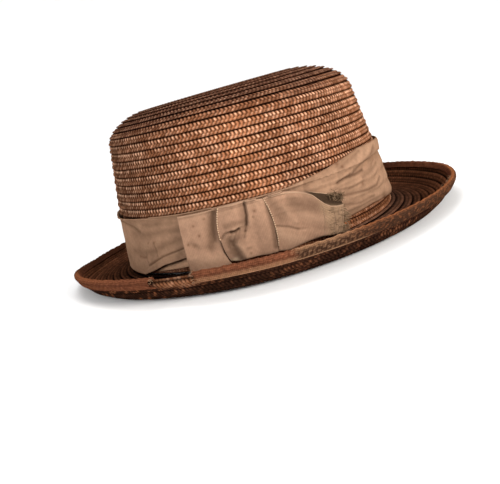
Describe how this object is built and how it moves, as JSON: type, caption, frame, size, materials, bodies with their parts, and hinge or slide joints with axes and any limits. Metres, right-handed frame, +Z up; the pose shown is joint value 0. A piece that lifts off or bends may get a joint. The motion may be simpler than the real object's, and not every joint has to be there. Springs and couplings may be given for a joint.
{
  "type": "straw braid hat with rolled brim",
  "caption": "Sewn straw braid hat with a tall flat-topped crown, a brim rolled up at its edge, a pleated ribbon band and a flat ribbon bow at one side.",
  "frame": {"origin": "on the surface that the brim rests on, below the middle of the brim's outline", "axes": "+X towards the wearer's front, -Y towards the wearer's right, which is the side of the bow, +Z up to the tip of the crown"},
  "size_m": [0.263, 0.2359, 0.1033],
  "materials": {
    "crown_straw": "glossy plaited straw, tan, darker at the tip and the back",
    "brim_straw": "plaited straw, dark brown on both faces",
    "binding_ribbon": "matt brown ribbed ribbon, worn and faded",
    "band_ribbon": "matt fawn ribbon, creased",
    "bow_ribbon": "matt fawn ribbed ribbon with woven edges and one frayed end"
  },
  "bodies": {
    "root": {"crown": "crown_straw", "brim": "brim_straw", "edge_binding": "binding_ribbon", "hat_band": "band_ribbon", "band_under_fold": "band_ribbon", "bow_left_tab": "bow_ribbon", "bow_middle_tab": "bow_ribbon", "bow_right_tab": "bow_ribbon"}
  },
  "joints": []
}
